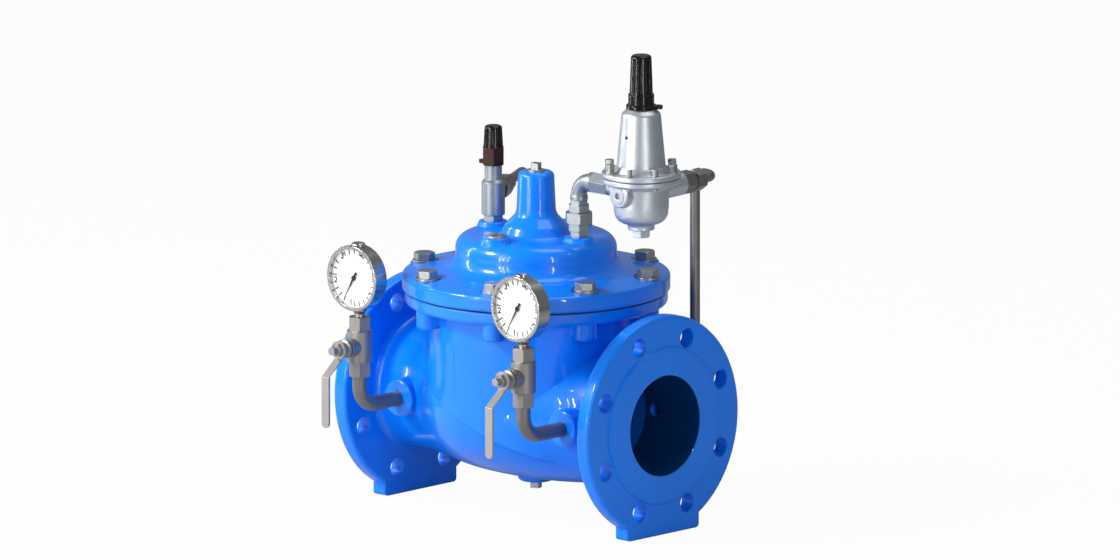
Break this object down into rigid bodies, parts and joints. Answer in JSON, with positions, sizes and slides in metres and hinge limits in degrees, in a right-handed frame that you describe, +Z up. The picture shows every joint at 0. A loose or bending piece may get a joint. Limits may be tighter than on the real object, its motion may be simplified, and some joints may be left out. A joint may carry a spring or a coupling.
{
  "type": "pressure reducing valve",
  "caption": "Flanged pilot-operated pressure reducing valve with diaphragm cover, upstream and downstream pressure gauges on stop valves, needle valve, pilot regulator and control tubes.",
  "frame": {"origin": "centre of the inlet bore's mouth, on the inlet flange's raised face", "axes": "+X along the pipe from the inlet to the outlet, +Z up along the stem, +Y to the back, away from the gauges"},
  "size_m": [0.3565, 0.32, 0.48],
  "materials": {
    "blue_enamel": "gloss epoxy coating",
    "seat_steel": "machined",
    "bolt_steel": "plain steel",
    "rubber": "fabric-backed rubber",
    "spring_steel": "drawn wire",
    "bronze": "machined",
    "pipe_steel": "dull tube",
    "fitting_steel": "satin",
    "pilot_casting": "satin casting",
    "cap_plastic": "gloss moulded",
    "valve_steel": "satin casting",
    "handle_steel": "pressed sheet",
    "case_steel": "polished",
    "dial_white": "printed, satin",
    "lens_glass": "clear",
    "pointer_black": "satin",
    "ball_chrome": "polished"
  },
  "bodies": {
    "valve": {"valve_body": "blue_enamel", "cover": "blue_enamel", "seat_ring": "seat_steel", "cover_bolts": "bolt_steel", "cover_washers": "bolt_steel", "cover_plugs": "bolt_steel", "drain_plug": "bolt_steel", "pilot_bolts": "bolt_steel", "main_diaphragm": "rubber", "pilot_diaphragm": "rubber", "main_spring": "spring_steel", "pilot_spring": "spring_steel", "stem_bearing": "bronze", "feed_tube": "pipe_steel", "outlet_tube": "pipe_steel", "tube_boss_fittings": "pipe_steel", "pilot_outlet_fitting": "pipe_steel", "needle_side_fitting": "pipe_steel", "upstream_gauge_pipe": "pipe_steel", "downstream_gauge_pipe": "pipe_steel", "needle_nipple": "fitting_steel", "needle_body": "fitting_steel", "union_tail": "fitting_steel", "union_nut": "fitting_steel", "union_elbow": "fitting_steel", "hex_nipple": "fitting_steel", "pilot_body": "pilot_casting", "pilot_housing": "pilot_casting", "pilot_plugs": "pilot_casting", "upstream_gauge_valve": "valve_steel", "upstream_valve_gland": "valve_steel", "downstream_gauge_valve": "valve_steel", "downstream_valve_gland": "valve_steel", "upstream_gauge_case": "case_steel", "downstream_gauge_case": "case_steel", "upstream_gauge_dial": "dial_white", "downstream_gauge_dial": "dial_white", "upstream_gauge_lens": "lens_glass", "downstream_gauge_lens": "lens_glass"},
    "main_trim": {"main_stem": "seat_steel", "main_disc": "seat_steel", "disc_seal": "rubber", "seal_retainer": "seat_steel", "diaphragm_plates": "seat_steel", "stem_nut": "seat_steel"},
    "pilot_poppet": {"pilot_poppet": "bronze"},
    "pilot_screw": {"pilot_screw": "fitting_steel"},
    "spring_button": {"spring_button": "bronze"},
    "pilot_cap": {"pilot_cap": "cap_plastic"},
    "needle_spindle": {"needle_spindle": "fitting_steel"},
    "needle_cap": {"needle_cap": "cap_plastic"},
    "upstream_handle": {"upstream_lever": "handle_steel", "upstream_lever_nut": "valve_steel", "upstream_ball_and_stem": "ball_chrome"},
    "upstream_pointer": {"upstream_gauge_pointer": "pointer_black"},
    "downstream_handle": {"downstream_lever": "handle_steel", "downstream_lever_nut": "valve_steel", "downstream_ball_and_stem": "ball_chrome"},
    "downstream_pointer": {"downstream_gauge_pointer": "pointer_black"}
  },
  "joints": [
    {"name": "main_lift", "type": "slide", "parent": "valve", "child": "main_trim", "axis": [0, 0, 1], "range_m": [0, 0.022], "deforming": ["main_diaphragm", "main_spring"]},
    {"name": "pilot_travel", "type": "slide", "parent": "valve", "child": "pilot_poppet", "axis": [0, 0, -1], "range_m": [0, 0.0015], "deforming": ["pilot_diaphragm", "pilot_spring"]},
    {"name": "pilot_screw_turn", "type": "hinge", "parent": "valve", "child": "pilot_screw", "pos_m": [0.3172, 0, 0.32], "axis": [0, 0, 1], "range_deg": [-1440, 0]},
    {"name": "spring_button_slide", "type": "slide", "parent": "valve", "child": "spring_button", "axis": [0, 0, -1], "range_m": [0, 0.006]},
    {"name": "pilot_cap_lift", "type": "slide", "parent": "valve", "child": "pilot_cap", "axis": [0, 0, 1], "range_m": [0, 0.03]},
    {"name": "needle_spindle_travel", "type": "slide", "parent": "valve", "child": "needle_spindle", "axis": [0, 0, 1], "range_m": [0, 0.005]},
    {"name": "needle_cap_lift", "type": "slide", "parent": "valve", "child": "needle_cap", "axis": [0, 0, 1], "range_m": [0, 0.03]},
    {"name": "upstream_handle_turn", "type": "hinge", "parent": "valve", "child": "upstream_handle", "pos_m": [0.0643, -0.165, 0.0617], "axis": [0, 1, 0], "range_deg": [0, 90]},
    {"name": "upstream_pointer_turn", "type": "hinge", "parent": "valve", "child": "upstream_pointer", "pos_m": [0.0643, -0.147, 0.131], "axis": [0, 1, 0], "range_deg": [-75, 225]},
    {"name": "downstream_handle_turn", "type": "hinge", "parent": "valve", "child": "downstream_handle", "pos_m": [0.2857, -0.165, 0.0617], "axis": [0, 1, 0], "range_deg": [0, 90]},
    {"name": "downstream_pointer_turn", "type": "hinge", "parent": "valve", "child": "downstream_pointer", "pos_m": [0.2857, -0.147, 0.131], "axis": [0, 1, 0], "range_deg": [-75, 225]}
  ],
  "couplings": [
    {"joint": "spring_button_slide", "follows": "pilot_screw_turn", "m_per_rad": -0.00023873}
  ]
}
